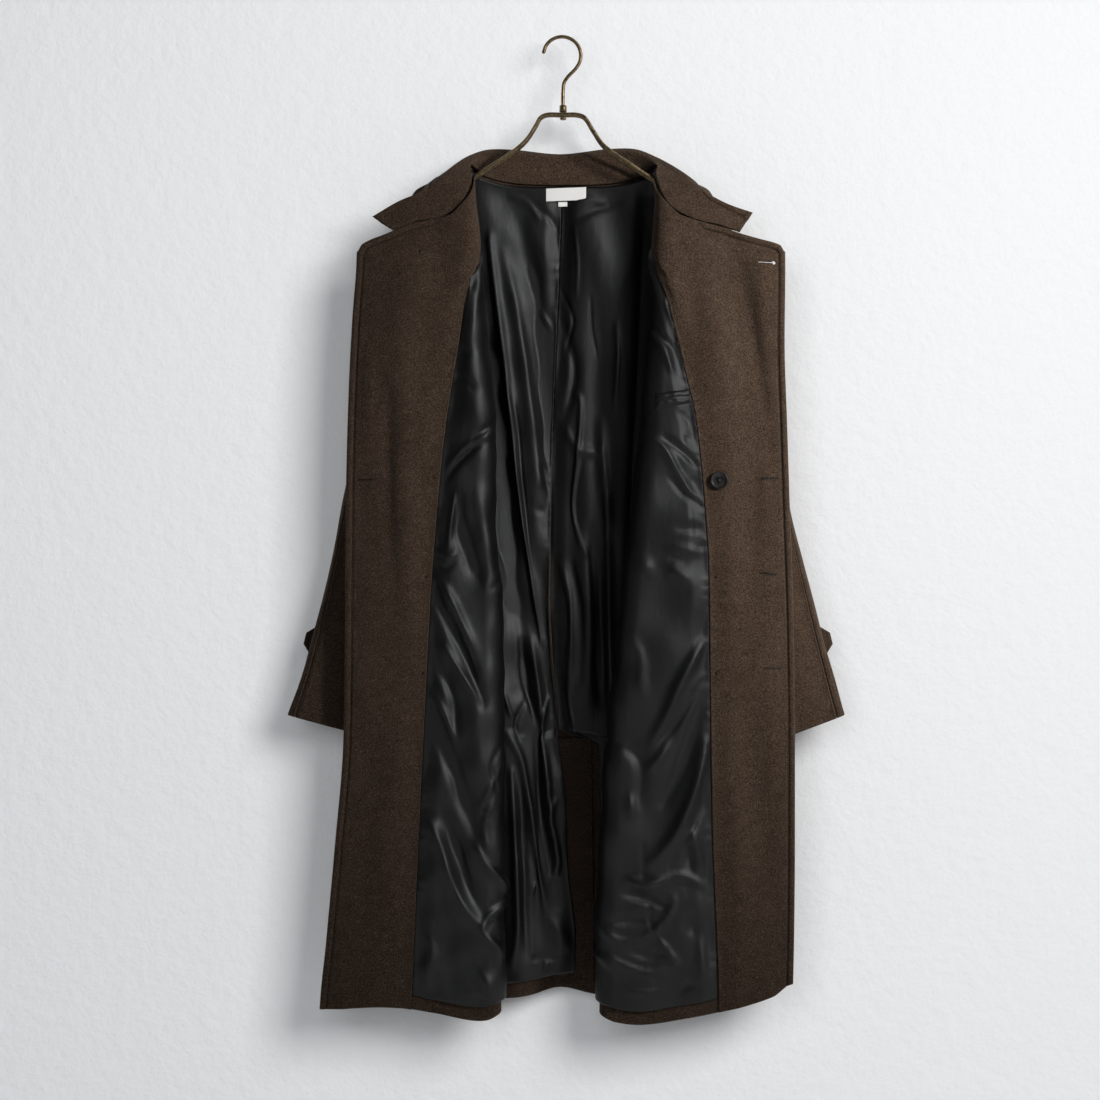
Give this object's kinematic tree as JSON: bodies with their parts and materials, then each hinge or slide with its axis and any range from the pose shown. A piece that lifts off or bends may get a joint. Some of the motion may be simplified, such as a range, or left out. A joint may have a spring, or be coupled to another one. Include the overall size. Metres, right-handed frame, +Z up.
{
  "type": "chesterfield coat on hanger",
  "caption": "Double-breasted wool overcoat on a wire hanger, its fronts folded back to show facings and black satin lining.",
  "frame": {"origin": "underside of the hook's wire, where the hook hangs on a rod or wall hook", "axes": "+X to the viewer's right, +Y from the viewer to the wall behind, +Z up"},
  "size_m": [0.7193, 0.1183, 1.2741],
  "materials": {
    "wool": "fulled wool melton",
    "lining": "satin lining",
    "hanger_brass": "aged brass plate",
    "horn_button": "polished",
    "woven_label": "woven, bare"
  },
  "bodies": {
    "root": {"front_left": "wool", "front_right": "wool", "facing_left": "wool", "facing_right": "wool", "back_left": "wool", "back_right": "wool", "vent_underlap": "wool", "top_sleeve_left": "wool", "under_sleeve_left": "wool", "top_sleeve_right": "wool", "under_sleeve_right": "wool", "upper_collar": "wool", "under_collar": "wool", "cuff_tab_left": "wool", "cuff_tab_right": "wool", "front_lining_left": "lining", "front_lining_right": "lining", "back_lining_left": "lining", "back_lining_right": "lining", "pocket_welt_upper": "lining", "pocket_welt_lower": "lining", "hanger_hook": "hanger_brass", "hanger_ferrule": "hanger_brass", "hanger_rivet": "hanger_brass", "hanger_wire_front": "hanger_brass", "hanger_wire_back": "hanger_brass", "button_left_top": "horn_button", "button_left_upper": "horn_button", "button_left_middle": "horn_button", "button_left_lower": "horn_button", "button_right_upper": "horn_button", "button_right_middle": "horn_button", "button_right_lower": "horn_button", "button_inner": "horn_button", "cuff_button_left": "horn_button", "cuff_button_right": "horn_button", "neck_label": "woven_label", "size_tab": "woven_label"}
  },
  "joints": []
}
